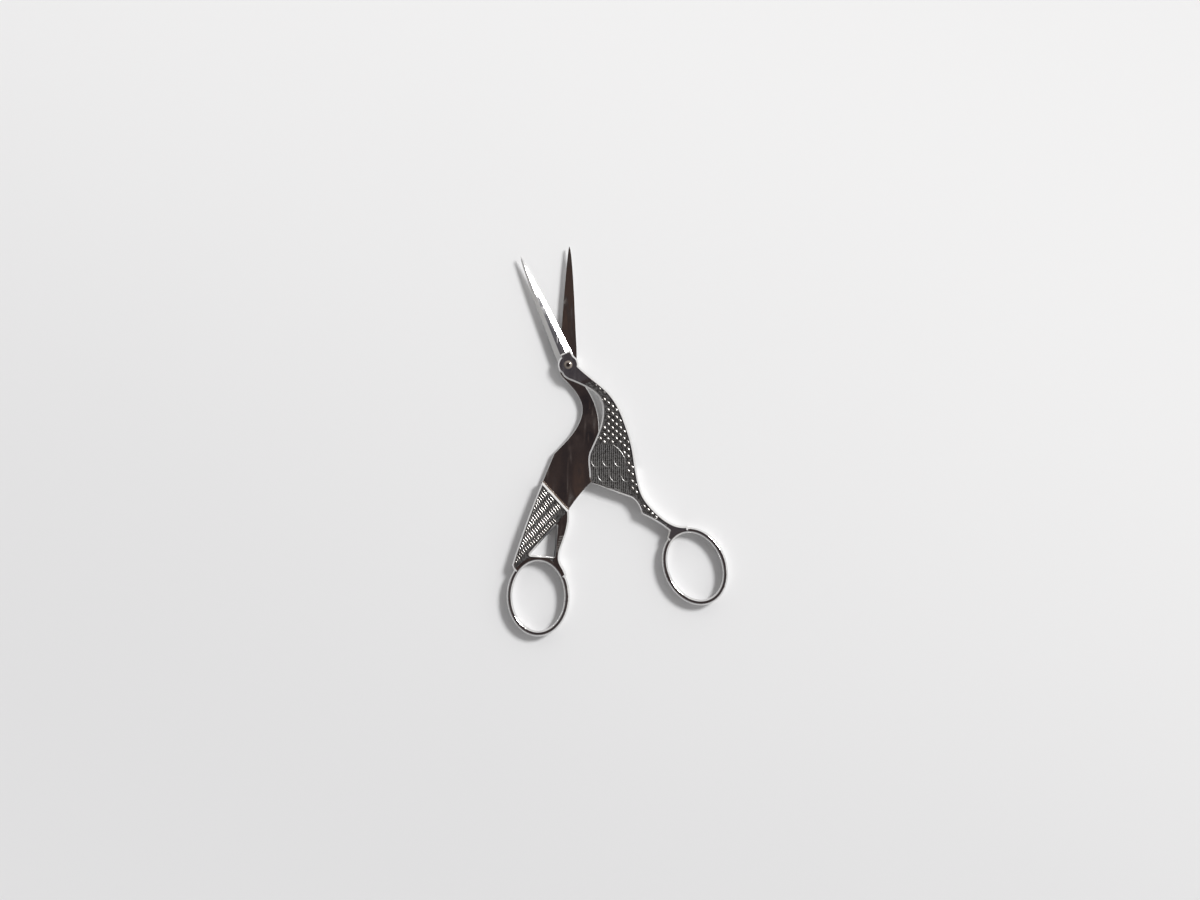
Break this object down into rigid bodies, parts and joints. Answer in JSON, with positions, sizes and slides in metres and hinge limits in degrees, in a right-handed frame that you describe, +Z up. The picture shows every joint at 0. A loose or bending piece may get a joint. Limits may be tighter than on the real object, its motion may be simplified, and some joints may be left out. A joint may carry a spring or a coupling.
{
  "type": "embroidery scissors",
  "caption": "Stork-shaped embroidery scissors: pointed beak blades on a rivet pivot, feathered body and tail, and a finger ring on each leg.",
  "frame": {"origin": "pivot axis of the blades, at the level of the table that the scissors lie on", "axes": "+Z up from the table along the pivot; +Y from the finger rings towards the tip of the lower half's blade"},
  "size_m": [0.0654, 0.115, 0.004],
  "materials": {
    "polished_nickel": "mirror-polished nickel plate with dark recesses",
    "rivet_nickel": "mirror-polished nickel plate"
  },
  "bodies": {
    "tail_side": {"tail_half": "polished_nickel", "pivot_rivet": "rivet_nickel"},
    "wing_side": {"wing_half": "polished_nickel"}
  },
  "joints": [
    {"name": "blade_pivot", "type": "hinge", "parent": "tail_side", "child": "wing_side", "pos_m": [0, 0, 0], "axis": [0, 0, 1], "range_deg": [-24, 41]}
  ]
}
